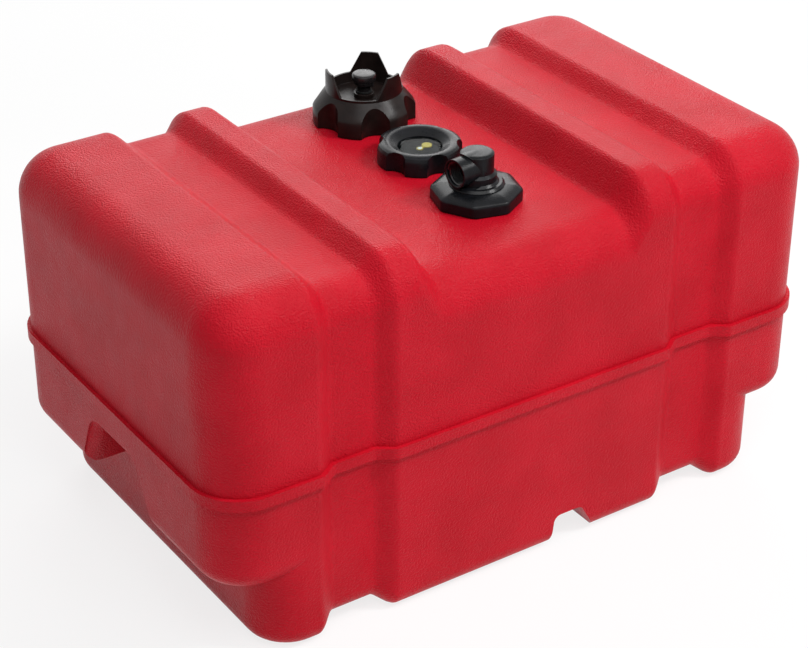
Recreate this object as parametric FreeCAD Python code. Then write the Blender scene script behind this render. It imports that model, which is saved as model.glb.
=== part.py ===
"""Portable outboard fuel tank, moulded in one piece, with a vented filler cap, a float gauge and a fuel pickup.

Millimetres. +X runs along the tank, -Y is the long front side, +Z is up.
The origin is the middle of the footprint, on the surface that the tank stands on.
"""
import FreeCAD, Part
import math
import os
from FreeCAD import Vector

# ---------------------------------------------------------------- tank body
tank_length = 590.0
tank_width = 356.0
tank_height = 322.0
wall = 4.5
corner_radius = 42.0            # upright corners, seen from above
top_edge_radius = 38.0          # top edges of the raised end bands, the ridges and the ends
low_edge_radius = 16.0          # bottom edges of the long sides and of the feet
overhang_edge_radius = 18.0     # low edges of the overhanging ends
band_length = 86.0              # raised band at each end, outside its strap groove
ridge_length = 18.0             # flat top of the ridge between a strap groove and the deck
deck_drop = 28.5                # the flat deck lies this far below the bands
deck_edge_radius = 36.0         # front and back edges of the deck
deck_wall_run = 25.0            # length over which the deck climbs to a ridge
strap_floor = 36.0              # the two strap grooves go right round the tank
strap_wall_run = 20.0
strap_depth_top = 14.0
strap_depth_side = 10.0
strap_depth_low = 10.0
overhang_height = 70.5          # the ends hang over the feet from this height up
foot_setback = 38.5
foot_corner_radius = 39.0
notch_centre = 39.0             # cross notch under the middle
notch_roof = 28.0
notch_steep_run = 4.0
notch_gentle_run = 18.0
notch_height = 30.5
notch_edge_radius = 7.0
grip_low_half = 58.0            # finger grip in each overhang
grip_high_half = 33.0
grip_top = 124.5
grip_corner_radius = 22.0
grip_lip_radius = 12.0
bead_top = 160.5                # moulding bead round the middle
bead_height = 13.0
bead_proud = 3.5
bead_bevel = 3.0
wall_steps = 6                  # stations along each curved wall
lip_steps = 6

# ---------------------------------------------------------------- filler cap
filler_back_inset = 74.0        # from the tank's back face to the filler's middle
filler_side_inset = 72.5        # from the deck's right end
filler_bore_radius = 26.0
neck_wall = 6.0
filler_neck_height = 14.0
seal_thickness = 2.0
seal_bore_gap = 0.5             # a flat seal's hole is this much wider than the neck's bore
seat_gap = 0.3                  # between pieces that turn or lift on each other
deck_gap = 0.8                  # under every cap and nut
thread_room = 3.5               # between a neck and the cap or nut round it
cap_radius = 45.0
cap_skirt_top = 17.0            # heights from here on are above the deck
cap_cone_top = 29.5
cap_well_radius = 31.8
cap_rim_height = 31.5
cap_crown_wall = 1.8
cap_well_floor = 22.0
cap_plate = 3.0
cap_edge_round = 2.5
cap_flange = 5.0
lobe_count = 6
cap_lobe_turn = 40.5            # degrees from +X to a lobe
cap_scallop_radius = 15.0
cap_scallop_depth = 8.0
petal_count = 3
petal_turn = 48.0
petal_height = 49.5
petal_base_width = 35.0
petal_top_width = 15.0

# ---------------------------------------------------------------- vent screw
vent_boss_radius = 9.0
vent_boss_height = 4.0
vent_stem_radius = 3.0
vent_neck_radius = 5.5
vent_knob_radius = 10.4
vent_knob_height = 6.0
vent_knob_top = 44.0
vent_knob_round = 2.0
vent_lug_length = 3.0
vent_lug_width = 2.4
vent_lug_height = 5.0
vent_lug_turn = -64.0
vent_tail = 1.0                 # screw below its clip
vent_travel = 3.0
vent_seal_radius = 7.0
vent_seal_thickness = 1.6
vent_clip_radius = 6.0
vent_clip_thickness = 1.2
running_gap = 0.06              # shaft in its own bearing

# ---------------------------------------------------------------- float gauge
gauge_spacing = 94.5            # from the filler, across the deck
gauge_side_inset = 78.0         # from the deck's right end
gauge_bore_radius = 22.0
gauge_neck_wall = 5.0
gauge_neck_height = 4.5
gauge_nut_radius = 36.5
gauge_nut_height = 18.0
gauge_nut_round = 5.0
gauge_lobe_turn = -9.0
gauge_scallop_radius = 13.0
gauge_scallop_depth = 5.0
gauge_nut_flange = 3.5
gauge_dish_radius = 27.5        # the nut's top slopes in from here to the window
gauge_dish_depth = 5.0
window_radius = 19.0
head_flange = 2.0
head_cup_radius = 20.0
head_cup_depth = 12.0
head_wall = 2.0
dial_radius = 16.2
dial_thickness = 0.8
pointer_thickness = 1.0
pointer_width = 8.6
pointer_front = 4.0
pointer_back = 7.5
pointer_gap = 0.5
pointer_turn = -34.0            # shows empty at this turn
lens_rim = 1.5
lens_wall = 1.3
lens_gap = 0.3
lens_drop = 0.4                 # lens below the window's edge
strip_width = 8.0
strip_thickness = 0.8
strip_turns = 0.5               # turn of the strip over the float's whole travel
strip_steps = 16
strip_pin_radius = 2.0
guide_rod_radius = 1.5
guide_rod_offset = 11.0
gauge_foot_height = 40.5        # height of the foot plate above the ground
gauge_foot_thickness = 3.0
gauge_foot_radius = 15.0
float_radius = 17.5
float_height = 24.0
float_travel = 200.0
float_rod_gap = 0.5
float_hole_gap = 0.8
float_guide_thickness = 1.5
float_slot_gap = 0.5

# ---------------------------------------------------------------- fuel pickup
pickup_spacing = 85.5           # from the gauge, across the deck
pickup_side_inset = 80.5        # from the deck's right end
pickup_bore_radius = 21.0
pickup_neck_wall = 8.0
pickup_neck_height = 6.0
pickup_nut_radius = 38.0
pickup_nut_sides = 8
pickup_nut_turn = 7.0
pickup_nut_side = 10.0          # height of its eight flats
pickup_nut_corner = 4.0
pickup_nut_height = 15.0
elbow_flange = 2.0
elbow_flange_margin = 1.5       # flange wider than the neck's outside
elbow_shoulder_radius = 23.0
elbow_shoulder_round = 2.0
elbow_collar_radius = 16.5      # short collar round the stem's foot
elbow_collar_top = 24.0
elbow_stem_radius = 14.0
elbow_stem_height = 43.5
elbow_edge_round = 2.0
port_height = 29.5
port_length = 24.0
port_turn = 186.0               # degrees from +X to the way that the port faces
port_thread_radius = 7.0
port_thread_length = 15.0
port_countersink = 1.2
passage_radius = 3.0
spigot_radius = 18.0
spigot_length = 9.0
ring_seal_section = 1.4
barb_radius = 5.0
barb_length = 12.0
tube_wall = 1.5
tube_low_end = 24.0
strainer_low = 14.0
strainer_height = 30.0
strainer_wall = 1.2
strainer_slots = 8
strainer_slot_width = 2.0

deck = tank_height - deck_drop
strap_centre = tank_length / 2 - band_length - strap_wall_run - strap_floor / 2
deck_half_length = strap_centre - strap_floor / 2 - strap_wall_run - ridge_length - deck_wall_run
filler_x = deck_half_length - filler_side_inset
filler_y = tank_width / 2 - filler_back_inset
gauge_x = deck_half_length - gauge_side_inset
gauge_y = filler_y - gauge_spacing
pickup_x = deck_half_length - pickup_side_inset
pickup_y = gauge_y - pickup_spacing
UP = Vector(0, 0, 1)
FULL_TURN = 360.0


# ---------------------------------------------------------------- small helpers
def disc(radius, height, low=0.0):
    return Part.makeCylinder(radius, height, Vector(0, 0, low), UP)


def ring(outer, inner, height, low=0.0):
    return disc(outer, height, low).cut(disc(inner, height, low))


def lathe(points):
    """Turn a closed outline of (radius, height) points about the Z axis."""
    path = [Vector(r, 0, z) for r, z in points]
    face = Part.Face(Part.makePolygon(path + path[:1]))
    return face.revolve(Vector(0, 0, 0), UP, FULL_TURN)


def turned(shape, degrees):
    copy = shape.copy()
    copy.rotate(Vector(0, 0, 0), UP, degrees)
    return copy


def round_pattern(shape, count, first):
    return [turned(shape, first + FULL_TURN * i / count) for i in range(count)]


def placed(shape, x, y, z=0.0):
    copy = shape.copy()
    copy.translate(Vector(x, y, z))
    return copy


def rounded_outline(points, radii):
    """Closed wire through the points, each corner rounded with its own radius."""
    edges = []
    count = len(points)
    stops = []
    for i in range(count):
        corner = points[i]
        radius = radii[i]
        before = (points[i - 1] - corner).normalize()
        after = (points[(i + 1) % count] - corner).normalize()
        half = before.getAngle(after) / 2
        reach = radius / math.tan(half)
        middle = (before + after).normalize()
        centre = corner + middle * (radius / math.sin(half))
        stops.append((corner + before * reach, centre - middle * radius, corner + after * reach))
    for i in range(count):
        start, mid, end = stops[i]
        edges.append(Part.Arc(start, mid, end).toShape())
        edges.append(Part.LineSegment(end, stops[(i + 1) % count][0]).toShape())
    return Part.Wire(edges)


def eased(step, steps):
    """Fraction from 0 to 1 that starts and ends level."""
    return (1 - math.cos(math.pi * step / steps)) / 2


def quarter(radius, past):
    """How far a quarter round has dropped when it is 'past' its start."""
    reach = min(max(past / radius, 0.0), 1.0)
    return radius * (1 - math.sqrt(1 - reach * reach))


# ---------------------------------------------------------------- tank body
def section(x, half, low, high, high_radius, low_radius):
    """Rounded outline of the tank across its length, at x."""
    h, g = high_radius, low_radius
    s = math.sqrt(0.5)
    a = [Vector(x, half, low + g), Vector(x, half, high - h)]
    b = [Vector(x, half - h, high), Vector(x, -half + h, high)]
    c = [Vector(x, -half, high - h), Vector(x, -half, low + g)]
    d = [Vector(x, -half + g, low), Vector(x, half - g, low)]
    top_right = Vector(x, half - h + h * s, high - h + h * s)
    top_left = Vector(x, -half + h - h * s, high - h + h * s)
    low_left = Vector(x, -half + g - g * s, low + g - g * s)
    low_right = Vector(x, half - g + g * s, low + g - g * s)
    edges = [
        Part.LineSegment(a[0], a[1]).toShape(),
        Part.Arc(a[1], top_right, b[0]).toShape(),
        Part.LineSegment(b[0], b[1]).toShape(),
        Part.Arc(b[1], top_left, c[0]).toShape(),
        Part.LineSegment(c[0], c[1]).toShape(),
        Part.Arc(c[1], low_left, d[0]).toShape(),
        Part.LineSegment(d[0], d[1]).toShape(),
        Part.Arc(d[1], low_right, a[0]).toShape(),
    ]
    return Part.Wire(edges)


def band_section(x, grow):
    return section(x, tank_width / 2 + grow, -grow, tank_height + grow,
                   top_edge_radius + grow, low_edge_radius + grow)


def deck_section(x, grow, rise=0.0):
    radius = deck_edge_radius + (top_edge_radius - deck_edge_radius) * rise
    return section(x, tank_width / 2 + grow, -grow, deck + deck_drop * rise + grow,
                   radius + grow, low_edge_radius + grow)


def strap_section(x, grow, depth):
    return section(x, tank_width / 2 - strap_depth_side * depth + grow, strap_depth_low * depth - grow,
                   tank_height - strap_depth_top * depth + grow,
                   top_edge_radius - strap_depth_side * depth + grow, low_edge_radius + grow)


def slant_shift(rise, run, grow):
    """Shift that keeps a slanted wall as thick as the flats beside it."""
    return grow * math.tan(math.atan(rise / run) / 2)


def slope_shift(rise, run, grow):
    """The same for an eased wall, which is steeper in its middle."""
    return slant_shift(rise * math.pi / 2, run, grow)


def straight(wire, x_end):
    x_start = wire.Vertexes[0].Point.x
    return Part.Face(wire).extrude(Vector(x_end - x_start, 0, 0))


def middle_half(grow, x_end):
    """The tank from its middle out to x_end, with the deck, a ridge and a strap groove."""
    climb = slope_shift(deck_drop, deck_wall_run, grow)
    dip = slope_shift(strap_depth_top, strap_wall_run, grow)
    deck_end = deck_half_length - climb
    ridge_start = deck_end + deck_wall_run
    groove = strap_centre - strap_floor / 2
    ridge_end = groove - strap_wall_run + dip
    floor_start = groove + dip
    floor_end = strap_centre + strap_floor / 2 - dip
    band_start = floor_end + strap_wall_run
    up = [deck_section(deck_end + deck_wall_run * i / wall_steps, grow, eased(i, wall_steps))
          for i in range(wall_steps + 1)]
    down = [strap_section(ridge_end + strap_wall_run * i / wall_steps, grow, eased(i, wall_steps))
            for i in range(wall_steps + 1)]
    out = [strap_section(floor_end + strap_wall_run * i / wall_steps, grow, 1 - eased(i, wall_steps))
           for i in range(wall_steps + 1)]
    pieces = [
        straight(deck_section(0, grow), deck_end),
        Part.makeLoft(up, True),
        straight(band_section(ridge_start, grow), ridge_end),
        Part.makeLoft(down, True),
        straight(strap_section(floor_start, grow, 1.0), floor_end),
        Part.makeLoft(out, True),
        straight(band_section(band_start, grow), x_end),
    ]
    return pieces


def end_block(x_start, x_end, half, radius, low, high):
    """Upright block from x_start, with round corners at x_end seen from above."""
    s = radius * (1 - math.sqrt(0.5))
    edges = [
        Part.LineSegment(Vector(x_start, half, low), Vector(x_start, -half, low)).toShape(),
        Part.LineSegment(Vector(x_start, -half, low), Vector(x_end - radius, -half, low)).toShape(),
        Part.Arc(Vector(x_end - radius, -half, low), Vector(x_end - s, -half + s, low),
                 Vector(x_end, -half + radius, low)).toShape(),
        Part.LineSegment(Vector(x_end, -half + radius, low), Vector(x_end, half - radius, low)).toShape(),
        Part.Arc(Vector(x_end, half - radius, low), Vector(x_end - s, half - s, low),
                 Vector(x_end - radius, half, low)).toShape(),
        Part.LineSegment(Vector(x_end - radius, half, low), Vector(x_start, half, low)).toShape(),
    ]
    return Part.Face(Part.Wire(edges)).extrude(Vector(0, 0, high - low))


def rim(block, level, x_start):
    """Edges of the block at a level, without the one at its start."""
    return [e for e in block.Edges if e.BoundBox.ZMax < level + 0.01 and e.BoundBox.ZMin > level - 0.01
            and e.BoundBox.XMax > x_start + 0.01]


def end_upper(grow, x_start):
    """The overhanging end, from x_start to its face."""
    low = overhang_height - grow
    high = tank_height + grow
    block = end_block(x_start, tank_length / 2 + grow, tank_width / 2 + grow, corner_radius + grow, low, high)
    block = block.makeFillet(top_edge_radius + grow, rim(block, high, x_start))
    return block.makeFillet(overhang_edge_radius + grow, rim(block, low, x_start))


def end_foot(grow, x_start):
    low = -grow
    block = end_block(x_start, tank_length / 2 - foot_setback + grow, tank_width / 2 + grow,
                      foot_corner_radius + grow, low, overhang_height + overhang_edge_radius)
    return block.makeFillet(low_edge_radius + grow, rim(block, low, x_start))


def grip_outline(x, spread):
    """Outline of the finger grip, which runs on below the overhang."""
    slant = (grip_low_half - grip_high_half) / (grip_top - overhang_height)
    below = overhang_height - 2 * grip_corner_radius
    low_half = grip_low_half + slant * (overhang_height - below) + spread
    high_half = grip_high_half + spread
    corners = [Vector(x, low_half, below), Vector(x, high_half, grip_top + spread),
               Vector(x, -high_half, grip_top + spread), Vector(x, -low_half, below)]
    return rounded_outline(corners, [grip_corner_radius] * len(corners))


def grip_cutter(grow):
    back = tank_length / 2 - foot_setback + grow
    face = tank_length / 2
    body = straight(grip_outline(back, -grow), face + grip_lip_radius)
    if grow < 0:
        return body
    lips = []
    for i in range(lip_steps + 1):
        reach = grip_lip_radius * (i / lip_steps)
        lips.append(grip_outline(face - grip_lip_radius + reach, quarter(grip_lip_radius, reach)))
    return body.fuse([Part.makeLoft(lips[:-1], True), straight(lips[-2], face + grip_lip_radius)])


def level_curve(points):
    """Smooth curve through the points that starts and ends along X."""
    curve = Part.BSplineCurve()
    curve.interpolate(Points=points, InitialTangent=Vector(1, 0, 0), FinalTangent=Vector(1, 0, 0))
    return curve.toShape()


def notch_cutter(grow):
    """Cross notch under the middle, steep on one side and gentle on the other."""
    half = tank_width / 2 + grow + 5
    low = -grow - 0.6
    high = notch_height - grow
    below = low - 40
    steep = slant_shift(notch_height, notch_steep_run, grow)
    gentle = slant_shift(notch_height, notch_gentle_run, grow)
    roof_start = notch_centre - notch_roof / 2 + steep
    roof_end = notch_centre + notch_roof / 2 - gentle
    reach = 3 * notch_edge_radius
    foot_start = roof_start - notch_steep_run
    foot_end = roof_end + notch_gentle_run
    corners = [(foot_start - reach, below), (foot_start - reach, low), (foot_start, low), (roof_start, high),
               (roof_end, high), (foot_end, low), (foot_end + reach, low), (foot_end + reach, below)]
    outer = notch_edge_radius - grow
    radii = [1.0, 1.0, notch_edge_radius, outer, outer, notch_edge_radius, 1.0, 1.0]
    outline = rounded_outline([Vector(x, -half, z) for x, z in corners], radii)
    return Part.Face(outline).extrude(Vector(0, 2 * half, 0))


def tank_form(grow):
    """The tank's whole outside, moved out by 'grow', or in where that is negative."""
    foot_start = strap_centre + strap_floor / 2 + strap_wall_run + 2
    flush_end = tank_length / 2 - foot_setback - foot_corner_radius - 2
    right = middle_half(grow, flush_end)
    right += [end_upper(grow, flush_end), end_foot(grow, foot_start)]
    half = right[0].fuse(right[1:])
    half = half.cut(grip_cutter(grow))
    whole = half.fuse(half.mirror(Vector(0, 0, 0), Vector(1, 0, 0)))
    return whole.cut(notch_cutter(grow)).removeSplitter()


def bead_slab(grow, low, high):
    """Slab with the tank's outline as seen from above, with a dip at each strap groove."""
    half = tank_width / 2 + grow
    face = tank_length / 2 + grow
    r = corner_radius + grow
    s = r * (1 - math.sqrt(0.5))
    floor = strap_floor / 2 - slope_shift(strap_depth_top, strap_wall_run, grow)
    start = strap_centre - floor - strap_wall_run
    end = strap_centre + floor
    into = [Vector(start + strap_wall_run * i / wall_steps,
                   -half + strap_depth_side * eased(i, wall_steps), low) for i in range(wall_steps + 1)]
    out = [Vector(end + strap_wall_run * i / wall_steps,
                  -half + strap_depth_side * (1 - eased(i, wall_steps)), low) for i in range(wall_steps + 1)]
    quarter_edges = [
        Part.LineSegment(Vector(0, -half, low), into[0]).toShape(),
        level_curve(into),
        Part.LineSegment(into[-1], out[0]).toShape(),
        level_curve(out),
        Part.LineSegment(out[-1], Vector(face - r, -half, low)).toShape(),
        Part.Arc(Vector(face - r, -half, low), Vector(face - s, -half + s, low),
                 Vector(face, -half + r, low)).toShape(),
        Part.LineSegment(Vector(face, -half + r, low), Vector(face, 0, low)).toShape(),
    ]
    origin = Vector(0, 0, 0)
    near = quarter_edges + [e.mirror(origin, Vector(1, 0, 0)) for e in quarter_edges]
    both = near + [e.mirror(origin, Vector(0, 1, 0)) for e in near]
    outline = Part.Wire(Part.__sortEdges__(both))
    return Part.Face(outline).extrude(Vector(0, 0, high - low))


def neck(bore, thickness, height, x, y):
    return placed(disc(bore + thickness, height + wall, deck - wall), x, y)


def neck_bore(bore, height, x, y):
    return placed(disc(bore, height + 2 * wall, deck - 1.5 * wall), x, y)


def tank_shell():
    body = tank_form(0.0)
    bead_low = bead_top - bead_height
    body = body.fuse([bead_slab(bead_proud, bead_low + bead_bevel, bead_top),
                      bead_slab(bead_proud / 2, bead_low, bead_low + bead_bevel)])
    necks = [
        neck(filler_bore_radius, neck_wall, filler_neck_height, filler_x, filler_y),
        neck(gauge_bore_radius, gauge_neck_wall, gauge_neck_height, gauge_x, gauge_y),
        neck(pickup_bore_radius, pickup_neck_wall, pickup_neck_height, pickup_x, pickup_y),
    ]
    bores = [
        neck_bore(filler_bore_radius, filler_neck_height, filler_x, filler_y),
        neck_bore(gauge_bore_radius, gauge_neck_height, gauge_x, gauge_y),
        neck_bore(pickup_bore_radius, pickup_neck_height, pickup_x, pickup_y),
    ]
    shell = body.cut(tank_form(-wall)).fuse(necks)
    return shell.cut(bores[0].fuse(bores[1:])).removeSplitter()


# ---------------------------------------------------------------- filler cap
def scallops(body, radius, cut_radius, depth, low, high, first_lobe):
    """Cut a hollow between each two lobes, from the height low to high."""
    half_pitch = FULL_TURN / lobe_count / 2
    cutter = placed(disc(cut_radius, high - low, low), radius - depth + cut_radius, 0)
    for copy in round_pattern(cutter, lobe_count, first_lobe + half_pitch):
        body = body.cut(copy)
    return body


def fuel_cap():
    """Scalloped cap with a well in its top; three petals stand on the well's rim round the vent."""
    crown = cap_well_radius + cap_crown_wall
    inside = filler_bore_radius + neck_wall + thread_room
    seat = filler_neck_height + seal_thickness + 2 * seat_gap
    hole = vent_stem_radius + running_gap
    outline = [
        (inside, deck_gap),
        (cap_radius, deck_gap),
        (cap_radius, cap_skirt_top - cap_edge_round),
        (cap_radius - cap_edge_round / 2, cap_skirt_top),
        (crown, cap_cone_top),
        (crown, cap_rim_height),
        (cap_well_radius, cap_rim_height),
        (cap_well_radius, cap_well_floor),
        (vent_boss_radius, cap_well_floor),
        (vent_boss_radius, cap_well_floor + vent_boss_height),
        (hole, cap_well_floor + vent_boss_height),
        (hole, cap_well_floor - cap_plate),
        (filler_bore_radius, cap_well_floor - cap_plate),
        (filler_bore_radius, seat),
        (inside, seat),
    ]
    body = lathe(outline)
    body = scallops(body, cap_radius, cap_scallop_radius, cap_scallop_depth,
                    cap_flange + deck_gap, cap_cone_top, cap_lobe_turn)
    crown_ring = ring(crown, cap_well_radius, petal_height - cap_well_floor, cap_well_floor)
    low = cap_rim_height - 1
    half_low = petal_base_width / 2
    half_high = petal_top_width / 2
    corners = [Vector(0, -half_low, low), Vector(0, half_low, low),
               Vector(0, half_high, petal_height), Vector(0, -half_high, petal_height)]
    blade = Part.Face(Part.makePolygon(corners + corners[:1])).extrude(Vector(crown + 1, 0, 0))
    petals = [crown_ring.common(copy) for copy in round_pattern(blade, petal_count, petal_turn)]
    return placed(body.fuse(petals).removeSplitter(), filler_x, filler_y, deck)


def cap_gasket():
    seal = ring(filler_bore_radius + neck_wall, filler_bore_radius + seal_bore_gap, seal_thickness)
    return placed(seal, filler_x, filler_y, deck + filler_neck_height + seat_gap)


def vent_levels():
    """Heights above the deck of the vent boss, its seal and the knob's underside."""
    boss = cap_well_floor + vent_boss_height
    seal = boss + seat_gap
    shoulder = seal + vent_seal_thickness + seat_gap
    return boss, seal, shoulder


def vent_screw():
    """Knob with a rounded top, a neck that presses the seal, and a threaded stem."""
    shoulder = vent_levels()[2]
    clip = cap_well_floor - cap_plate - vent_travel - 2 * vent_clip_thickness
    knob_low = vent_knob_top - vent_knob_height
    outline = [
        (0, clip - vent_tail),
        (vent_stem_radius, clip - vent_tail),
        (vent_stem_radius, shoulder),
        (vent_neck_radius, shoulder),
        (vent_neck_radius, knob_low),
        (vent_knob_radius - vent_knob_round / 2, knob_low),
        (vent_knob_radius, knob_low + vent_knob_round / 2),
        (vent_knob_radius, vent_knob_top - vent_knob_round),
        (vent_knob_radius - vent_knob_round, vent_knob_top - vent_knob_round / 4),
        (0, vent_knob_top),
    ]
    body = lathe(outline)
    lug = Part.makeBox(vent_lug_length, vent_lug_width, vent_lug_height,
                       Vector(vent_knob_radius - vent_knob_round / 2 - vent_lug_length, -vent_lug_width / 2,
                              knob_low + vent_knob_round / 2 - vent_lug_height))
    body = body.fuse(turned(lug, vent_lug_turn))
    return placed(body, filler_x, filler_y, deck)


def vent_seal():
    low = vent_levels()[1]
    seal = ring(vent_seal_radius, vent_stem_radius + seat_gap, vent_seal_thickness, low)
    return placed(seal, filler_x, filler_y, deck)


def vent_clip():
    """Spring clip that keeps the screw in the cap."""
    low = cap_well_floor - cap_plate - vent_travel - 2 * vent_clip_thickness
    clip = ring(vent_clip_radius, vent_stem_radius, vent_clip_thickness, low)
    mouth = Part.makeBox(vent_clip_radius, vent_stem_radius, vent_clip_thickness,
                         Vector(0, -vent_stem_radius / 2, low))
    return placed(clip.cut(mouth), filler_x, filler_y, deck)


# ---------------------------------------------------------------- float gauge
gauge_flange_low = gauge_neck_height + seal_thickness
gauge_dial_low = gauge_flange_low + head_flange
gauge_pointer_low = gauge_dial_low + dial_thickness + pointer_gap
gauge_neck_radius = gauge_bore_radius + gauge_neck_wall


def gauge_nut():
    inside = gauge_neck_radius + thread_room / 2
    lip = gauge_dial_low + lens_rim + lens_gap
    outline = [
        (inside, deck_gap),
        (gauge_nut_radius, deck_gap),
        (gauge_nut_radius, gauge_nut_height - gauge_nut_round),
        (gauge_nut_radius - 0.3 * gauge_nut_round, gauge_nut_height - 0.3 * gauge_nut_round),
        (gauge_nut_radius - gauge_nut_round, gauge_nut_height),
        (gauge_dish_radius, gauge_nut_height),
        (window_radius, gauge_nut_height - gauge_dish_depth),
        (window_radius, lip),
        (inside, lip),
    ]
    body = lathe(outline)
    body = scallops(body, gauge_nut_radius, gauge_scallop_radius, gauge_scallop_depth,
                    gauge_nut_flange + deck_gap, gauge_nut_height - 0.5, gauge_lobe_turn)
    return placed(body, gauge_x, gauge_y, deck)


def gauge_gasket():
    seal = ring(gauge_neck_radius, gauge_bore_radius + seal_bore_gap, seal_thickness,
                gauge_neck_height)
    return placed(seal, gauge_x, gauge_y, deck)


def gauge_body():
    """Flanged cup that hangs in the neck and carries the dial, the rods and the strip's bearing."""
    hole = strip_pin_radius + running_gap
    low = gauge_flange_low - head_cup_depth
    outline = [
        (hole, low),
        (head_cup_radius, low),
        (head_cup_radius, gauge_flange_low),
        (gauge_neck_radius, gauge_flange_low),
        (gauge_neck_radius, gauge_dial_low),
        (hole, gauge_dial_low),
        (hole, gauge_dial_low - head_wall),
        (head_cup_radius - head_wall, gauge_dial_low - head_wall),
        (head_cup_radius - head_wall, low + head_wall),
        (hole, low + head_wall),
    ]
    return placed(lathe(outline), gauge_x, gauge_y, deck)


def gauge_dial():
    dial = ring(dial_radius, strip_pin_radius + 0.5, dial_thickness, gauge_dial_low)
    return placed(dial, gauge_x, gauge_y, deck)


def gauge_pointer():
    """Tongue with a round end, pressed on the strip's pin."""
    tongue = Part.makeBox(pointer_width, pointer_front + pointer_back - pointer_width / 2, pointer_thickness,
                          Vector(-pointer_width / 2, -pointer_front, gauge_pointer_low))
    tip = placed(disc(pointer_width / 2, pointer_thickness, gauge_pointer_low), 0,
                 pointer_back - pointer_width / 2)
    body = tongue.fuse(tip).cut(disc(strip_pin_radius, pointer_thickness, gauge_pointer_low))
    return placed(turned(body.removeSplitter(), pointer_turn), gauge_x, gauge_y, deck)


def gauge_lens():
    """Clear window: a rim held by the nut and a raised middle."""
    top = gauge_nut_height - gauge_dish_depth - lens_drop
    outer = window_radius - lens_gap
    inner = outer - lens_wall
    rim_top = gauge_dial_low + lens_rim
    outline = [
        (inner, gauge_dial_low),
        (gauge_neck_radius - 0.5, gauge_dial_low),
        (gauge_neck_radius - 0.5, rim_top),
        (outer, rim_top),
        (outer, top - 1.0),
        (outer - 1.0, top - 0.3),
        (0, top),
        (0, top - lens_wall),
        (inner, top - lens_wall - 0.4),
    ]
    return placed(lathe(outline), gauge_x, gauge_y, deck)


def guide_rods():
    low = gauge_foot_height - deck
    high = gauge_flange_low - head_cup_depth
    rod = placed(disc(guide_rod_radius, high - low, low), guide_rod_offset, 0)
    other = placed(disc(guide_rod_radius, high - low, low), -guide_rod_offset, 0)
    return placed(Part.makeCompound([rod, other]), gauge_x, gauge_y, deck)


def gauge_foot():
    """Plate at the rods' lower ends, with the strip's lower bearing."""
    plate = disc(gauge_foot_radius, gauge_foot_thickness, 0)
    for x in (-guide_rod_offset, guide_rod_offset):
        plate = plate.cut(placed(disc(guide_rod_radius, gauge_foot_thickness), x, 0))
    plate = plate.cut(disc(strip_pin_radius + running_gap, gauge_foot_thickness))
    return placed(plate, gauge_x, gauge_y, gauge_foot_height)


def strip_lead():
    """Length of strip in one full turn."""
    return float_travel / strip_turns


def float_rest():
    return gauge_foot_height + gauge_foot_thickness + seat_gap


def strip_angle(height):
    """Turn of the strip, in degrees, at a height above the float's guide at rest."""
    return FULL_TURN * (height - float_rest() - float_height) / strip_lead()


def twist_strip():
    """Flat strip with an even twist, on a pin at each end."""
    low = gauge_foot_height + gauge_foot_thickness + 1.0
    high = deck + gauge_flange_low - head_cup_depth - 1.0
    half = strip_width / 2
    thick = strip_thickness / 2
    outlines = []
    for i in range(strip_steps + 1):
        z = low + (high - low) * i / strip_steps
        corners = [Vector(-half, -thick, z), Vector(half, -thick, z), Vector(half, thick, z),
                   Vector(-half, thick, z)]
        wire = Part.makePolygon(corners + corners[:1])
        outlines.append(turned(wire, strip_angle(z)))
    strip = Part.makeLoft(outlines, True, False)
    foot = disc(strip_pin_radius, low + 1.0 - gauge_foot_height, gauge_foot_height)
    top = deck + gauge_pointer_low + pointer_thickness
    head = disc(strip_pin_radius, top - high + 1.0, high - 1.0)
    return placed(strip.fuse([foot, head]), gauge_x, gauge_y)


def gauge_float():
    """Float with two holes for the rods and a thin slotted guide that turns the strip."""
    body = disc(float_radius, float_height)
    for x in (-guide_rod_offset, guide_rod_offset):
        body = body.cut(placed(disc(guide_rod_radius + float_rod_gap, float_height), x, 0))
    body = body.cut(disc(strip_width / 2 + float_hole_gap, float_height - float_guide_thickness))
    long = strip_width / 2 + float_slot_gap
    short = strip_thickness / 2 + float_slot_gap
    slot = Part.makeBox(2 * long, 2 * short, 2 * float_guide_thickness,
                        Vector(-long, -short, float_height - 1.5 * float_guide_thickness))
    return placed(body.cut(slot), gauge_x, gauge_y, float_rest())


# ---------------------------------------------------------------- fuel pickup
pickup_neck_radius = pickup_bore_radius + pickup_neck_wall
elbow_low = pickup_neck_height + seal_thickness + seat_gap
elbow_shoulder = elbow_low + elbow_flange


def pickup_gasket():
    seal = ring(pickup_neck_radius, pickup_bore_radius + seal_bore_gap, seal_thickness,
                pickup_neck_height)
    return placed(seal, pickup_x, pickup_y, deck)


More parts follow.
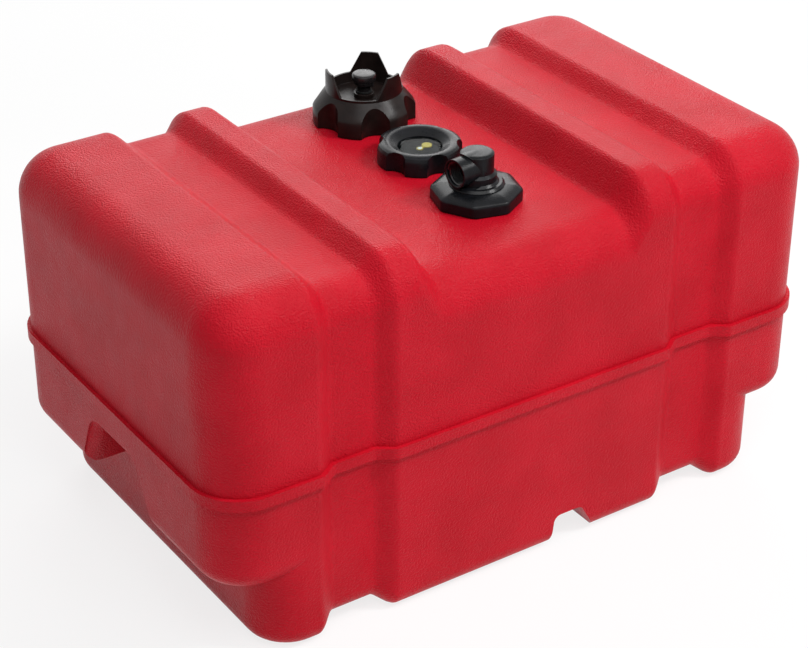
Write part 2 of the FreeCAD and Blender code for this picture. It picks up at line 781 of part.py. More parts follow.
def pickup_nut():
    """Eight-sided nut with a sloping top and a lip over the elbow's flange."""
    step = 2 * math.pi / pickup_nut_sides
    corners = [Vector(pickup_nut_radius * math.cos(step * i), pickup_nut_radius * math.sin(step * i), deck_gap)
               for i in range(pickup_nut_sides)]
    outline = rounded_outline(corners, [pickup_nut_corner] * pickup_nut_sides)
    prism = Part.Face(outline).extrude(Vector(0, 0, pickup_nut_height - deck_gap))
    shoulder = elbow_shoulder_radius
    rise = (pickup_nut_height - pickup_nut_side) / (pickup_nut_radius - shoulder)
    over = pickup_nut_radius * (1 - math.cos(step / 2))
    envelope = lathe([
        (0, deck_gap),
        (pickup_nut_radius + over, deck_gap),
        (pickup_nut_radius + over, pickup_nut_side - rise * over),
        (shoulder, pickup_nut_height),
        (0, pickup_nut_height),
    ])
    hollow = disc(pickup_neck_radius + elbow_flange_margin + seat_gap,
                  elbow_shoulder + seat_gap - deck_gap, deck_gap)
    hole = disc(shoulder + seat_gap, pickup_nut_height)
    body = prism.common(envelope).cut(hollow.fuse(hole))
    return placed(turned(body, pickup_nut_turn), pickup_x, pickup_y, deck)


def pickup_elbow():
    """Flanged elbow: shoulder, upright stem, side port, and a spigot with the tube's barb below."""
    shoulder = elbow_shoulder_radius
    shoulder_top = pickup_nut_height + elbow_shoulder_round
    top = elbow_stem_height
    spigot_end = elbow_low - spigot_length
    seal_level = elbow_low - spigot_length / 2
    groove = 1.2 * ring_seal_section
    body = lathe([
        (0, spigot_end),
        (spigot_radius, spigot_end),
        (spigot_radius, seal_level - groove),
        (spigot_radius - groove, seal_level - groove),
        (spigot_radius - groove, seal_level + groove),
        (spigot_radius, seal_level + groove),
        (spigot_radius, elbow_low),
        (pickup_neck_radius + elbow_flange_margin, elbow_low),
        (pickup_neck_radius + elbow_flange_margin, elbow_shoulder),
        (shoulder, elbow_shoulder),
        (shoulder, pickup_nut_height),
        (shoulder - elbow_shoulder_round, shoulder_top),
        (elbow_collar_radius + elbow_shoulder_round, shoulder_top),
        (elbow_collar_radius, shoulder_top + elbow_shoulder_round),
        (elbow_collar_radius, elbow_collar_top),
        (elbow_stem_radius, elbow_collar_top + elbow_edge_round),
        (elbow_stem_radius, top - elbow_edge_round),
        (elbow_stem_radius - elbow_edge_round, top - elbow_edge_round / 3),
        (0, top),
    ])
    away = Vector(1, 0, 0)
    start = Vector(0, 0, port_height)
    port = Part.makeCylinder(elbow_stem_radius, port_length, start, away)
    barb = disc(barb_radius, barb_length, spigot_end - barb_length)
    body = body.fuse([port, barb])
    thread_start = port_length - port_thread_length
    thread = Part.makeCylinder(port_thread_radius, port_thread_length, start + away * thread_start, away)
    mouth = Part.makeCone(port_thread_radius, port_thread_radius + port_countersink, port_countersink,
                          start + away * (port_length - port_countersink), away)
    across = Part.makeCylinder(passage_radius, thread_start, start, away)
    down = disc(passage_radius, port_height - spigot_end + barb_length, spigot_end - barb_length)
    turn_round = Part.makeSphere(passage_radius, start)
    body = body.cut(thread.fuse([mouth, across, down, turn_round]))
    return placed(turned(body, port_turn), pickup_x, pickup_y, deck)


def elbow_seal():
    """Ring seal in the spigot's groove."""
    level = elbow_low - spigot_length / 2
    radius = pickup_bore_radius - ring_seal_section - seat_gap
    seal = Part.makeTorus(radius, ring_seal_section, Vector(0, 0, level), UP)
    return placed(seal, pickup_x, pickup_y, deck)


def pickup_tube():
    top = deck + elbow_low - spigot_length
    inner = barb_radius
    tube = ring(inner + tube_wall, inner, top - tube_low_end, tube_low_end)
    return placed(tube, pickup_x, pickup_y)


def pickup_strainer():
    """Slotted cup round the tube's lower end."""
    outer = barb_radius + tube_wall + strainer_wall
    body = disc(outer, strainer_height, strainer_low)
    body = body.cut(disc(barb_radius + tube_wall, strainer_height, strainer_low + strainer_wall))
    slot_height = tube_low_end - strainer_low - strainer_wall
    slot = Part.makeBox(outer + 1, strainer_slot_width, slot_height - 1.0,
                        Vector(0, -strainer_slot_width / 2, strainer_low + strainer_wall + 0.5))
    for copy in round_pattern(slot, strainer_slots, 0):
        body = body.cut(copy)
    return placed(body, pickup_x, pickup_y)


NODES = {
    "tank_shell": tank_shell,
    "fuel_cap": fuel_cap,
    "cap_gasket": cap_gasket,
    "vent_screw": vent_screw,
    "vent_seal": vent_seal,
    "vent_clip": vent_clip,
    "gauge_nut": gauge_nut,
    "gauge_lens": gauge_lens,
    "gauge_dial": gauge_dial,
    "gauge_pointer": gauge_pointer,
    "gauge_body": gauge_body,
    "gauge_gasket": gauge_gasket,
    "guide_rods": guide_rods,
    "gauge_foot": gauge_foot,
    "twist_strip": twist_strip,
    "gauge_float": gauge_float,
    "pickup_nut": pickup_nut,
    "pickup_elbow": pickup_elbow,
    "pickup_gasket": pickup_gasket,
    "elbow_seal": elbow_seal,
    "pickup_tube": pickup_tube,
    "pickup_strainer": pickup_strainer,
}


def main():
    os.makedirs("parts", exist_ok=True)
    for name, make in NODES.items():
        shape = make()
        print(name, len(shape.Solids), "solid(s)", round(shape.Volume / 1000, 1), "cm3",
              "valid" if shape.isValid() else "NOT VALID")
        shape.exportStep("parts/" + name + ".step")


if __name__ == "__main__":
    main()
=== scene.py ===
"""Portable outboard fuel tank: finishes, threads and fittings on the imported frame, and a studio."""
import math

import bmesh
import bpy
from mathutils import Matrix, Vector


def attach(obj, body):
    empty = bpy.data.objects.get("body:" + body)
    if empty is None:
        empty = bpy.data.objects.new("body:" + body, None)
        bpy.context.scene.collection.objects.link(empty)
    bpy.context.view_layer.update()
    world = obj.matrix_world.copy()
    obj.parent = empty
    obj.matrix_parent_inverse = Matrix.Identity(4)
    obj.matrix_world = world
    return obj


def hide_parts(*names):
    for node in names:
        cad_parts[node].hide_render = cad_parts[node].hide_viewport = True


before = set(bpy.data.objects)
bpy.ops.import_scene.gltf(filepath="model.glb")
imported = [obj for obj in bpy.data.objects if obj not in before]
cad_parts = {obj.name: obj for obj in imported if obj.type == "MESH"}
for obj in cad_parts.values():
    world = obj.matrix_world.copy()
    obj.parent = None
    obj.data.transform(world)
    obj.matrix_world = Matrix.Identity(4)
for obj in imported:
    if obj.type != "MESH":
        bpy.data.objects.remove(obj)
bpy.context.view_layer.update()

MM = 0.001


# ---------------------------------------------------------------- colours and nodes
# Sockets of a Mix node that mixes colours, where names would be unclear.
MIX_SHARE, MIX_FIRST, MIX_SECOND, MIX_RESULT = 0, 6, 7, 2


def colour(hex_value):
    """Turn an sRGB hex value into the linear colour that a shader reads."""
    parts = [int(hex_value[i:i + 2], 16) / 255 for i in (1, 3, 5)]
    return [p / 12.92 if p <= 0.04045 else ((p + 0.055) / 1.055) ** 2.4 for p in parts] + [1.0]


def add(tree, kind, settings=None, links=None):
    """Add a node. A setting is a socket, by name or number, or one of the node's own choices."""
    node = tree.nodes.new(kind)
    for name, value in (settings or {}).items():
        if not isinstance(name, int) and name not in node.inputs:
            setattr(node, name, value)
    for name, value in (settings or {}).items():
        if isinstance(name, int) or name in node.inputs:
            node.inputs[name].default_value = value
    for name, source in (links or {}).items():
        tree.links.new(source, node.inputs[name])
    return node


def new_material(name):
    """A material with an empty node tree."""
    material = bpy.data.materials.new(name)
    material.use_nodes = True
    material.node_tree.nodes.clear()
    return material, material.node_tree


def per_metre(size_mm):
    """Texture scale that gives cells of this size on a piece measured in metres."""
    return 1 / (size_mm * MM)


def finish_with(tree, settings, links):
    """Close a material with the Principled shader and its output."""
    shader = add(tree, "ShaderNodeBsdfPrincipled", settings, links)
    add(tree, "ShaderNodeOutputMaterial", links={"Surface": shader.outputs["BSDF"]})


def seen_directly(tree):
    """One for what the camera, gloss and glass show, nought for light that falls on pieces."""
    rays = add(tree, "ShaderNodeLightPath")
    first = add(tree, "ShaderNodeMath", {"operation": "MAXIMUM"},
                {0: rays.outputs["Is Camera Ray"], 1: rays.outputs["Is Transmission Ray"]})
    return add(tree, "ShaderNodeMath", {"operation": "MAXIMUM"},
               {0: first.outputs["Value"], 1: rays.outputs["Is Glossy Ray"]}).outputs["Value"]


def two_tone(tree, place, low, high, size_mm):
    """A soft mottle between two colours."""
    noise = add(tree, "ShaderNodeTexNoise", {"Scale": per_metre(size_mm), "Detail": 3.0},
                {"Vector": place})
    level = add(tree, "ShaderNodeMapRange", {"From Min": 0.35, "From Max": 0.65},
                {"Value": noise.outputs["Fac"]})
    mix = add(tree, "ShaderNodeMix",
              {"data_type": "RGBA", MIX_FIRST: colour(low), MIX_SECOND: colour(high)},
              {MIX_SHARE: level.outputs["Result"]})
    return mix.outputs[MIX_RESULT]


def uneven(tree, place, low, high, size_mm):
    """A number that wanders between two values, for roughness."""
    noise = add(tree, "ShaderNodeTexNoise", {"Scale": per_metre(size_mm), "Detail": 2.0},
                {"Vector": place})
    level = add(tree, "ShaderNodeMapRange",
                {"From Min": 0.3, "From Max": 0.7, "To Min": low, "To Max": high},
                {"Value": noise.outputs["Fac"]})
    return level.outputs["Result"]


# ---------------------------------------------------------------- materials
def pebbled_red_polyethylene():
    """Blow-moulded polyethylene: pigmented through, and pebble grained by a textured mould.

    The grain breaks the gloss into a fine pink sparkle; the pigment flows in faint clouds.
    """
    cloud_mm, pebble_mm, fine_mm, wave_mm, gloss_mm = 55.0, 1.5, 0.7, 70.0, 25.0
    material, tree = new_material("blow_moulded_red_polyethylene")
    place = add(tree, "ShaderNodeTexCoord").outputs["Object"]
    clouds = two_tone(tree, place, "#B80C20", "#C31226", cloud_mm)
    # Pebbles of the mould's leather grain, with a finer one between them.
    pebble = add(tree, "ShaderNodeTexVoronoi",
                 {"feature": "SMOOTH_F1", "Scale": per_metre(pebble_mm), "Smoothness": 0.6},
                 {"Vector": place})
    fine = add(tree, "ShaderNodeTexNoise", {"Scale": per_metre(fine_mm), "Detail": 2.0},
               {"Vector": place})
    grain = add(tree, "ShaderNodeMath", {"operation": "MULTIPLY_ADD", 1: 0.6},
                {0: fine.outputs["Fac"], 2: pebble.outputs["Distance"]})
    # The wall of such a tank is never quite flat: slow waves from cooling in the mould.
    waves = add(tree, "ShaderNodeTexNoise", {"Scale": per_metre(wave_mm), "Detail": 1.0},
                {"Vector": place})
    sink = add(tree, "ShaderNodeBump", {"Strength": 0.12, "Distance": 2.0 * MM},
               {"Height": waves.outputs["Fac"]})
    bump = add(tree, "ShaderNodeBump", {"Strength": 0.9, "Distance": 0.75 * MM, "invert": True},
               {"Height": grain.outputs["Value"], "Normal": sink.outputs["Normal"]})
    finish_with(tree, {"IOR": 1.5, "Specular IOR Level": 0.10},
                {"Base Color": clouds, "Roughness": uneven(tree, place, 0.30, 0.38, gloss_mm),
                 "Normal": bump.outputs["Normal"]})
    return material


def moulded_black(name, low, high, rough_low, rough_high):
    """Injection-moulded black plastic with a fine spark-eroded texture and softened edges."""
    tone_mm, speck_mm, edge_mm, gloss_mm = 9.0, 0.5, 0.5, 12.0
    material, tree = new_material(name)
    place = add(tree, "ShaderNodeTexCoord").outputs["Object"]
    tone = two_tone(tree, place, low, high, tone_mm)
    speck = add(tree, "ShaderNodeTexNoise", {"Scale": per_metre(speck_mm), "Detail": 3.0},
                {"Vector": place})
    edge = add(tree, "ShaderNodeBevel", {"samples": 6, "Radius": edge_mm * MM})
    bump = add(tree, "ShaderNodeBump", {"Strength": 0.35, "Distance": 0.15 * MM},
               {"Height": speck.outputs["Fac"], "Normal": edge.outputs["Normal"]})
    roughness = uneven(tree, place, rough_low, rough_high, gloss_mm)
    finish_with(tree, {"IOR": 1.5, "Specular IOR Level": 0.15},
                {"Base Color": tone, "Roughness": roughness, "Normal": bump.outputs["Normal"]})
    return material


def satin(name, hex_value, roughness, metallic=0.0, speck_mm=0.8, depth_mm=0.05, shine=0.5):
    """A plain moulded or drawn surface with a faint speckle, for the small pieces."""
    edge_mm, gloss_mm = 0.4, 6.0
    material, tree = new_material(name)
    place = add(tree, "ShaderNodeTexCoord").outputs["Object"]
    speck = add(tree, "ShaderNodeTexNoise", {"Scale": per_metre(speck_mm), "Detail": 2.0},
                {"Vector": place})
    edge = add(tree, "ShaderNodeBevel", {"samples": 6, "Radius": edge_mm * MM})
    bump = add(tree, "ShaderNodeBump", {"Strength": 0.3, "Distance": depth_mm * MM},
               {"Height": speck.outputs["Fac"], "Normal": edge.outputs["Normal"]})
    wander = uneven(tree, place, roughness - 0.05, roughness + 0.05, gloss_mm)
    finish_with(tree, {"Base Color": colour(hex_value), "Metallic": metallic,
                       "Specular IOR Level": shine},
                {"Roughness": wander, "Normal": bump.outputs["Normal"]})
    return material


def clear_acrylic():
    """Moulded acrylic window: clear through, with a glossy skin and faint flow lines."""
    flow_mm = 14.0
    material, tree = new_material("moulded_clear_acrylic")
    place = add(tree, "ShaderNodeTexCoord").outputs["Object"]
    flow = add(tree, "ShaderNodeTexNoise", {"Scale": per_metre(flow_mm), "Detail": 1.0},
               {"Vector": place})
    bump = add(tree, "ShaderNodeBump", {"Strength": 0.15, "Distance": 0.2 * MM},
               {"Height": flow.outputs["Fac"]})
    skin = add(tree, "ShaderNodeFresnel", {"IOR": 1.1}, {"Normal": bump.outputs["Normal"]})
    inner = add(tree, "ShaderNodeNewGeometry").outputs["Backfacing"]
    # Only the outer skin shines: light passes unbent, so the inner one would turn it all back.
    outer = add(tree, "ShaderNodeMath", {"operation": "SUBTRACT", 0: 1.0}, {1: inner})
    share = add(tree, "ShaderNodeMath", {"operation": "MULTIPLY"},
                {0: skin.outputs["Fac"], 1: outer.outputs["Value"]})
    through = add(tree, "ShaderNodeBsdfTransparent", {"Color": colour("#E6EAEA")})
    gloss = add(tree, "ShaderNodeBsdfGlossy", {"Roughness": 0.05},
                {"Normal": bump.outputs["Normal"]})
    mixed = add(tree, "ShaderNodeMixShader",
                links={"Fac": share.outputs["Value"], 1: through.outputs["BSDF"],
                       2: gloss.outputs["BSDF"]})
    add(tree, "ShaderNodeOutputMaterial", links={"Surface": mixed.outputs["Shader"]})
    return material


def dress(node, material):
    """Give a CAD node its material."""
    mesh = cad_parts[node].data
    mesh.materials.clear()
    mesh.materials.append(material)


red = pebbled_red_polyethylene()
cap_black = moulded_black("moulded_brown_black_polypropylene", "#150F0E", "#1F1715", 0.26, 0.36)
nut_black = moulded_black("moulded_blue_black_nylon", "#0C0D0F", "#131418", 0.24, 0.32)
thread_black = satin("polished_black_nylon_thread", "#1A1A1C", 0.16)
grey = satin("moulded_dark_grey_nylon", "#1C191A", 0.30, shine=0.3)
rubber = satin("moulded_nitrile_rubber", "#171717", 0.75, shine=0.2)
yellow = satin("moulded_yellow_acetal", "#F2D21E", 0.35)
card = satin("printed_black_dial", "#0A0A0C", 0.6, shine=0.08)
nylon = satin("extruded_natural_nylon", "#C9C2AE", 0.45)
foam = satin("closed_cell_nitrile_foam", "#2A2622", 0.85, speck_mm=0.6, depth_mm=0.4)
strip_metal = satin("rolled_aluminium_strip", "#B9BBBE", 0.35, metallic=1.0, speck_mm=0.4)
rod_metal = satin("drawn_steel_rod", "#8D8E90", 0.3, metallic=1.0, speck_mm=0.3)
spring_metal = satin("stamped_spring_steel", "#6C6D70", 0.35, metallic=1.0)

FINISHES = {
    "tank_shell": red,
    "fuel_cap": cap_black,
    "vent_screw": grey,
    "gauge_nut": nut_black,
    "pickup_nut": nut_black,
    "pickup_elbow": nut_black,
    "gauge_body": nut_black,
    "cap_gasket": rubber,
    "vent_seal": rubber,
    "gauge_gasket": rubber,
    "pickup_gasket": rubber,
    "elbow_seal": rubber,
    "gauge_lens": clear_acrylic(),
    "gauge_dial": card,
    "gauge_pointer": yellow,
    "gauge_foot": nylon,
    "pickup_tube": nylon,
    "pickup_strainer": nylon,
    "gauge_float": foam,
    "twist_strip": strip_metal,
    "guide_rods": rod_metal,
    "vent_clip": spring_metal,
}
for node, material in FINISHES.items():
    dress(node, material)


# ---------------------------------------------------------------- shaping
WELD = 0.001 * MM                   # corners closer than this are one
DRUM_SIDES = 64
LATHE_STEPS = 72
THREAD_STEPS = 48                   # steps in one turn of a thread
SHARP_ANGLE = math.radians(32)      # an edge that turns by more than this shows as a crease


def turned_by(degrees, place):
    """Turn about the upright axis, then a move to a fitting's place on the deck."""
    return Matrix.Translation(place) @ Matrix.Rotation(math.radians(degrees), 4, "Z")


def drum(shape, radius, low, high, place):
    """A closed drum along Z, from the height low to high."""
    bmesh.ops.create_cone(shape, cap_ends=True, segments=DRUM_SIDES, radius1=radius,
                          radius2=radius, depth=high - low,
                          matrix=place @ Matrix.Translation((0, 0, (low + high) / 2)))


def block(shape, size, place):
    """A small block with its middle at a place."""
    corners = bmesh.ops.create_cube(shape, size=1.0)["verts"]
    bmesh.ops.scale(shape, vec=size, verts=corners)
    bmesh.ops.transform(shape, matrix=place, verts=corners)


def lathed(outline):
    """Spin a closed outline of (radius, height) pairs in millimetres round the upright axis."""
    shape = bmesh.new()
    corners = [shape.verts.new((r * MM, 0, z * MM)) for r, z in outline]
    edges = [shape.edges.new((a, b)) for a, b in zip(corners, corners[1:])]
    bmesh.ops.spin(shape, geom=corners + edges, cent=(0, 0, 0), axis=(0, 0, 1), angle=math.tau,
                   steps=LATHE_STEPS, use_merge=True)
    bmesh.ops.remove_doubles(shape, verts=shape.verts, dist=WELD)
    bmesh.ops.recalc_face_normals(shape, faces=shape.faces)
    return shape


def wound_ridge(root, crest, foot_width, crest_width, pitch, turns, start):
    """One thread ridge, wound up along Z from start. Its crest lies outside or inside its root."""
    shape = bmesh.new()
    corners = [(root, -foot_width / 2), (crest, -crest_width / 2),
               (crest, crest_width / 2), (root, foot_width / 2)]
    profile = shape.faces.new([shape.verts.new((r, 0, start + z)) for r, z in corners])
    steps = int(turns * THREAD_STEPS)
    bmesh.ops.spin(shape, geom=[profile] + profile.verts[:] + profile.edges[:],
                   cent=(0, 0, 0), axis=(0, 0, 1), dvec=(0, 0, pitch / THREAD_STEPS),
                   angle=math.tau * steps / THREAD_STEPS, steps=steps)
    bmesh.ops.recalc_face_normals(shape, faces=shape.faces)
    return shape


def make_round(corners, radius):
    """Move the corners of a rim onto a circle round the upright axis."""
    for corner in corners:
        corner.co.xy = corner.co.xy.normalized() * radius


def shade_by_angle(shape):
    """Smooth faces, with a crease only at the sharp edges."""
    for face in shape.faces:
        face.smooth = True
    for edge in shape.edges:
        edge.smooth = len(edge.link_faces) == 2 and edge.calc_face_angle(0) < SHARP_ANGLE


def copy_of(node):
    """A CAD node's shape as one closed skin, ready for cutting."""
    shape = bmesh.new()
    shape.from_mesh(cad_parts[node].data)
    bmesh.ops.remove_doubles(shape, verts=shape.verts, dist=WELD)
    return shape


def carve(shape, tool):
    """Take one closed shape out of another."""
    bmesh.ops.recalc_face_normals(tool, faces=tool.faces)
    holders = []
    for label, part in (("whole", shape), ("tool", tool)):
        mesh = bpy.data.meshes.new(label)
        part.to_mesh(mesh)
        part.free()
        holders.append(bpy.data.objects.new(label, mesh))
        bpy.context.scene.collection.objects.link(holders[-1])
    whole, cutter = holders
    cut = whole.modifiers.new("cut", "BOOLEAN")
    cut.operation = "DIFFERENCE"
    cut.solver = "EXACT"
    cut.object = cutter
    bpy.context.view_layer.update()
    result = bmesh.new()
    result.from_object(whole, bpy.context.evaluated_depsgraph_get())
    for holder in holders:
        bpy.data.objects.remove(holder)
    bmesh.ops.remove_doubles(result, verts=result.verts, dist=2 * WELD)
    bmesh.ops.dissolve_degenerate(result, dist=WELD, edges=result.edges)
    return result


def piece_from(shape, name, body, material):
    """Make a piece of a finished shape, which rides on a body."""
    shade_by_angle(shape)
    mesh = bpy.data.meshes.new(name)
    shape.to_mesh(mesh)
    shape.free()
    mesh.materials.append(material)
    piece = bpy.data.objects.new(name, mesh)
    bpy.context.scene.collection.objects.link(piece)
    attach(piece, body)
    return piece


# ---------------------------------------------------------------- moulded fittings and threads
# Where the fittings stand on the deck.
DECK = 0.2935
FILLER_PLACE = Vector((0.0175, 0.104, DECK))
GAUGE_PLACE = Vector((0.012, 0.0095, DECK))
PICKUP_PLACE = Vector((0.0095, -0.076, DECK))
LOBES = 6                           # round the filler cap, and round the gauge nut

# The pickup's port: its height above the deck, its turn from +X, and its bore.
PORT_HEIGHT = 29.5 * MM
PORT_TURN = 186.0
PORT_BORE_MM = 10.2
# The port's own frame, with Z pointing out of the port.
ALONG_PORT = (turned_by(PORT_TURN, PICKUP_PLACE + Vector((0, 0, PORT_HEIGHT)))
              @ Matrix.Rotation(math.radians(90), 4, "Y"))


def scallop_tool(place, radius, depth, cut_radius, high, first_lobe):
    """Drums that cut the hollow between each two lobes of a cap or nut, down through its foot."""
    below_foot = -2 * MM
    tool = bmesh.new()
    for i in range(LOBES):
        hollow = turned_by(first_lobe + (i + 0.5) * 360 / LOBES, place)
        out = Matrix.Translation((radius - depth + cut_radius, 0, 0))
        drum(tool, cut_radius, below_foot, high, hollow @ out)
    return tool


def scalloped_cap():
    """Filler cap whose finger hollows run down through its foot."""
    tool = scallop_tool(FILLER_PLACE, radius=45 * MM, depth=8.4 * MM, cut_radius=15.4 * MM,
                        high=29.5 * MM, first_lobe=40.5)
    shape = carve(copy_of("fuel_cap"), tool)
    piece = piece_from(shape, "scalloped_cap", "cap", cap_black)
    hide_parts("fuel_cap")


def scalloped_gauge_nut():
    """Gauge nut whose finger hollows run from its top to its foot."""
    tool = scallop_tool(GAUGE_PLACE, radius=36.5 * MM, depth=5.4 * MM, cut_radius=13.4 * MM,
                        high=22 * MM, first_lobe=-9.0)
    shape = carve(copy_of("gauge_nut"), tool)
    piece = piece_from(shape, "scalloped_gauge_nut", "tank", nut_black)
    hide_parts("gauge_nut")


def threaded_elbow():
    """Pickup elbow: its port is turned down to a thin tube and bored wide for the inside thread."""
    # A ring cutter thins the port, from the elbow's middle to past its mouth.
    thin, past, mouth = 12.2, 18, 27
    around = lathed([(thin, 2), (past, 2), (past, mouth), (thin, mouth), (thin, 2)])
    bmesh.ops.transform(around, matrix=ALONG_PORT, verts=around.verts)
    # The cutter spares the flange, the shoulder and the stem.
    flange, shoulder, stem = 23.05, 16.55, 14.05
    kept = lathed([(0, -20), (flange, -20), (flange, 17.05), (shoulder, 17.05),
                   (shoulder, 24.05), (stem, 26.1), (stem, 60), (0, 60)])
    bmesh.ops.translate(kept, vec=PICKUP_PLACE, verts=kept.verts)
    # The bore opens out by a small bevel at the mouth.
    bevel = 11.2
    bore = lathed([(0, 9), (PORT_BORE_MM, 9), (PORT_BORE_MM, 23.1), (bevel, 24.1), (bevel, 26),
                   (0, 26)])
    bmesh.ops.transform(bore, matrix=ALONG_PORT, verts=bore.verts)
    shape = carve(carve(copy_of("pickup_elbow"), carve(around, kept)), bore)
    piece = piece_from(shape, "threaded_elbow", "pickup", nut_black)
    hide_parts("pickup_elbow")


def rounded_octagon_nut():
    """Pickup nut: eight flats with rounded corners and edges, a sloping top and a hole.

    It is hollow below, with room for the elbow's flange.
    """
    corner_radius, hole_radius, room_radius = 38.6 * MM, 23.4 * MM, 31.1 * MM
    flats_height, flats_middle, room_height = 9.4 * MM, 5.5 * MM, 9.8 * MM
    nut_turn = 7.0
    shape = bmesh.new()
    bmesh.ops.create_cone(shape, cap_ends=True, segments=8, radius1=corner_radius,
                          radius2=corner_radius, depth=flats_height,
                          matrix=Matrix.Translation((0, 0, flats_middle)))
    uprights = [e for e in shape.edges
                if abs(e.verts[0].co.z - e.verts[1].co.z) > flats_height / 2]
    bmesh.ops.bevel(shape, geom=uprights, offset=3.0 * MM, affect="EDGES", segments=6,
                    profile=0.5, material=-1)
    top = max(shape.faces, key=lambda f: f.calc_center_median().z)
    low = min(shape.faces, key=lambda f: f.calc_center_median().z)
    rim = list(top.edges)
    # The top slopes up to a small step beside the hole.
    bmesh.ops.inset_region(shape, faces=[top], thickness=6.4 * MM, depth=3.4 * MM)
    bmesh.ops.inset_region(shape, faces=[top], thickness=0.2 * MM, depth=0.8 * MM)
    # The room is sunk into the foot, and the face that closes its mouth goes.
    bmesh.ops.inset_region(shape, faces=[low], thickness=4.0 * MM)
    make_round(low.verts, room_radius)
    mouth = low
    sunk = bmesh.ops.extrude_face_region(shape, geom=[mouth])["geom"]
    low = next(f for f in sunk if isinstance(f, bmesh.types.BMFace))
    bmesh.ops.delete(shape, geom=[mouth], context="FACES_ONLY")
    bmesh.ops.translate(shape, vec=(0, 0, room_height), verts=low.verts)
    # The hole joins the room to the top.
    bmesh.ops.inset_region(shape, faces=[low], thickness=5.0 * MM)
    make_round(low.verts, hole_radius)
    make_round(top.verts, hole_radius)
    ends = list(low.edges) + list(top.edges)
    bmesh.ops.delete(shape, geom=[low, top], context="FACES_ONLY")
    bmesh.ops.bridge_loops(shape, edges=ends)
    bmesh.ops.bevel(shape, geom=rim, offset=1.6 * MM, affect="EDGES", segments=5,
                    profile=0.5, material=-1)
    bmesh.ops.recalc_face_normals(shape, faces=shape.faces)
    bmesh.ops.transform(shape, matrix=turned_by(nut_turn, PICKUP_PLACE), verts=shape.verts)
    piece = piece_from(shape, "rounded_octagon_nut", "tank", nut_black)
    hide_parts("pickup_nut")


def vent_knob():
    """Vent screw: domed knob with a rounded rim, a collar below it, a stout neck and a lug."""
    screw = [(0, 12.6), (3, 12.6), (3, 27.9)]
    neck = [(6, 27.9), (6, 33.5), (6.5, 34)]
    collar = [(8.4, 34), (8.8, 34.4), (8.8, 36.4), (8.4, 36.8), (8.2, 37)]
    knob = [(9.4, 37), (10.1, 37.4), (10.4, 38.2), (10.4, 41.6), (10.0, 42.8), (9.1, 43.5),
            (7.5, 43.8), (4, 44), (0, 44)]
    shape = lathed(screw + neck + collar + knob)
    lug_turn = Matrix.Rotation(math.radians(-64), 4, "Z")
    block(shape, (3 * MM, 2.4 * MM, 5 * MM),
          lug_turn @ Matrix.Translation((8.0 * MM, 0, 35.5 * MM)))
    bmesh.ops.translate(shape, vec=FILLER_PLACE, verts=shape.verts)
    piece = piece_from(shape, "vent_knob", "vent", grey)
    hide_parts("vent_screw")


def yellow_pointer():
    """Pointer: a hub on the strip's pin, a narrow arm and a round tip."""
    low, high = 9.85 * MM, 10.75 * MM
    reach = 9 * MM
    pointer_turn = 15
    place = turned_by(pointer_turn, GAUGE_PLACE)
    shape = bmesh.new()
    # The hub and the arm are a little thinner than the tip, so that no two faces lie in one plane.
    drum(shape, 4.4 * MM, low, high, place @ Matrix.Translation((reach, 0, 0)))
    drum(shape, 2.9 * MM, low + 0.1 * MM, high - 0.1 * MM, place)
    block(shape, (reach, 2.4 * MM, 0.6 * MM),
          place @ Matrix.Translation((reach / 2, 0, (low + high) / 2)))
    piece = piece_from(shape, "yellow_pointer", "indicator", yellow)
    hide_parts("gauge_pointer")


def port_thread():
    """Pipe thread inside the pickup's port, up to its mouth."""
    bore = PORT_BORE_MM * MM
    shape = wound_ridge(root=bore + 0.15 * MM, crest=bore - 1.1 * MM, foot_width=1.6 * MM,
                        crest_width=0.35 * MM, pitch=1.8 * MM, turns=6.75, start=9.8 * MM)
    bmesh.ops.transform(shape, matrix=ALONG_PORT, verts=shape.verts)
    piece_from(shape, "port_thread", "pickup", thread_black)


def filler_neck_thread():
    """Coarse thread round the filler neck, which the cap screws down on."""
    shape = wound_ridge(root=31.8 * MM, crest=34.4 * MM, foot_width=4.2 * MM,
                        crest_width=1.2 * MM, pitch=5.0 * MM, turns=1.5, start=3.6 * MM)
    bmesh.ops.translate(shape, vec=FILLER_PLACE, verts=shape.verts)
    piece_from(shape, "filler_neck_thread", "tank", red)


scalloped_cap()
scalloped_gauge_nut()
threaded_elbow()
rounded_octagon_nut()
vent_knob()
yellow_pointer()
port_thread()
filler_neck_thread()


# ---------------------------------------------------------------- studio
ROOM_LEVEL = 0.20                   # even light from all round, next to a white of 1
FLOOR_GLOW = 0.8                    # share of plain white in the floor, where it is seen
FLOOR_HALF = 6.0                    # from the middle of the floor to its edge

# Each soft box: its name, its place, the spot it points at, its width and its power in watts.
SOFT_BOXES = [
    ("key_from_front", (-0.30, -1.10, 2.2), (0, 0, 0.2), 1.6, 31.0),
    ("glint_on_front_edges", (1.16, -1.2, 1.92), (0, 0, 0.25), 0.45, 30.0),
    ("sheen_from_behind", (1.1, 1.8, 1.5), (0, 0, 0.25), 1.8, 30.0),
]

# The camera: its place, its yaw, pitch and roll in degrees, and its lens and sensor in mm.
CAMERA_PLACE = (-0.9231, -1.3507, 1.0939)
CAMERA_ANGLES = (-34.063, -30.216, 0.198)
CAMERA_LENS = 96.45
CAMERA_SENSOR = 36.0


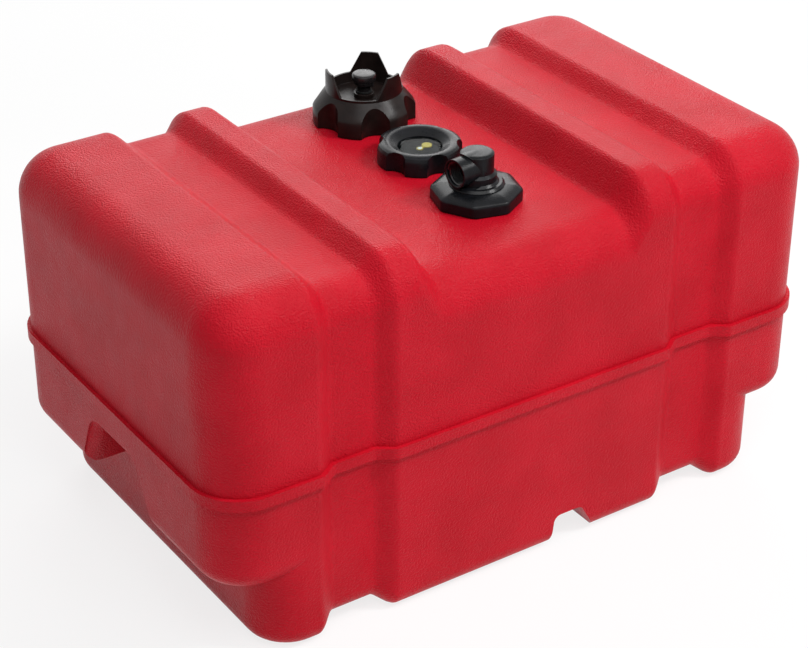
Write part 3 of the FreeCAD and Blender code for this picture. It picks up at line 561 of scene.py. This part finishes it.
def pale_floor():
    """Plain pale floor that meets the background, and keeps the tank's shadow."""
    cloud_mm = 400.0
    material, tree = new_material("matt_white_paint")
    place = add(tree, "ShaderNodeTexCoord").outputs["Object"]
    tone = two_tone(tree, place, "#F3F3F3", "#F7F7F7", cloud_mm)
    matt = add(tree, "ShaderNodeBsdfDiffuse", links={"Color": tone})
    glow = add(tree, "ShaderNodeEmission", {"Color": colour("#FFFFFF"), "Strength": 1.0})
    share = add(tree, "ShaderNodeMath", {"operation": "MULTIPLY", 1: FLOOR_GLOW},
                {0: seen_directly(tree)})
    mixed = add(tree, "ShaderNodeMixShader",
                links={"Fac": share.outputs["Value"], 1: matt.outputs["BSDF"],
                       2: glow.outputs["Emission"]})
    add(tree, "ShaderNodeOutputMaterial", links={"Surface": mixed.outputs["Shader"]})
    mesh = bpy.data.meshes.new("floor")
    shape = bmesh.new()
    bmesh.ops.create_grid(shape, x_segments=1, y_segments=1, size=FLOOR_HALF)
    shape.to_mesh(mesh)
    shape.free()
    mesh.materials.append(material)
    floor = bpy.data.objects.new("floor", mesh)
    bpy.context.scene.collection.objects.link(floor)


def room_light():
    """White background, with a weaker even light on the tank."""
    world = bpy.data.worlds.new("studio")
    world.use_nodes = True
    tree = world.node_tree
    tree.nodes.clear()
    level = add(tree, "ShaderNodeMapRange", {"To Min": ROOM_LEVEL, "To Max": 1.0},
                {"Value": seen_directly(tree)})
    sky = add(tree, "ShaderNodeBackground", {"Color": colour("#FFFFFF")},
              {"Strength": level.outputs["Result"]})
    add(tree, "ShaderNodeOutputWorld", links={"Surface": sky.outputs["Background"]})
    bpy.context.scene.world = world


def soft_light(name, place, aim, width, power):
    """A white square soft box that points at a spot."""
    lamp = bpy.data.lights.new(name, "AREA")
    lamp.shape = "SQUARE"
    lamp.size = width
    lamp.energy = power
    holder = bpy.data.objects.new(name, lamp)
    holder.location = place
    towards = Vector(aim) - Vector(place)
    holder.rotation_euler = towards.to_track_quat("-Z", "Y").to_euler()
    bpy.context.scene.collection.objects.link(holder)


def set_camera():
    """Camera above the front left corner, looking down at the deck."""
    yaw, pitch, roll = (math.radians(a) for a in CAMERA_ANGLES)
    ahead = Vector((math.sin(-yaw) * math.cos(pitch), math.cos(-yaw) * math.cos(pitch),
                    math.sin(pitch)))
    level_right = ahead.cross(Vector((0, 0, 1))).normalized()
    level_up = level_right.cross(ahead)
    right = level_right * math.cos(roll) + level_up * math.sin(roll)
    up = level_up * math.cos(roll) - level_right * math.sin(roll)
    lens = bpy.data.cameras.new("camera")
    lens.sensor_width = CAMERA_SENSOR
    lens.lens = CAMERA_LENS
    lens.clip_end = 50.0
    camera = bpy.data.objects.new("camera", lens)
    turn = Matrix((right, up, -ahead)).transposed().to_4x4()
    camera.matrix_world = Matrix.Translation(CAMERA_PLACE) @ turn
    bpy.context.scene.collection.objects.link(camera)
    bpy.context.scene.camera = camera


pale_floor()
room_light()
for soft_box in SOFT_BOXES:
    soft_light(*soft_box)
set_camera()
bpy.context.scene.view_settings.view_transform = "Standard"
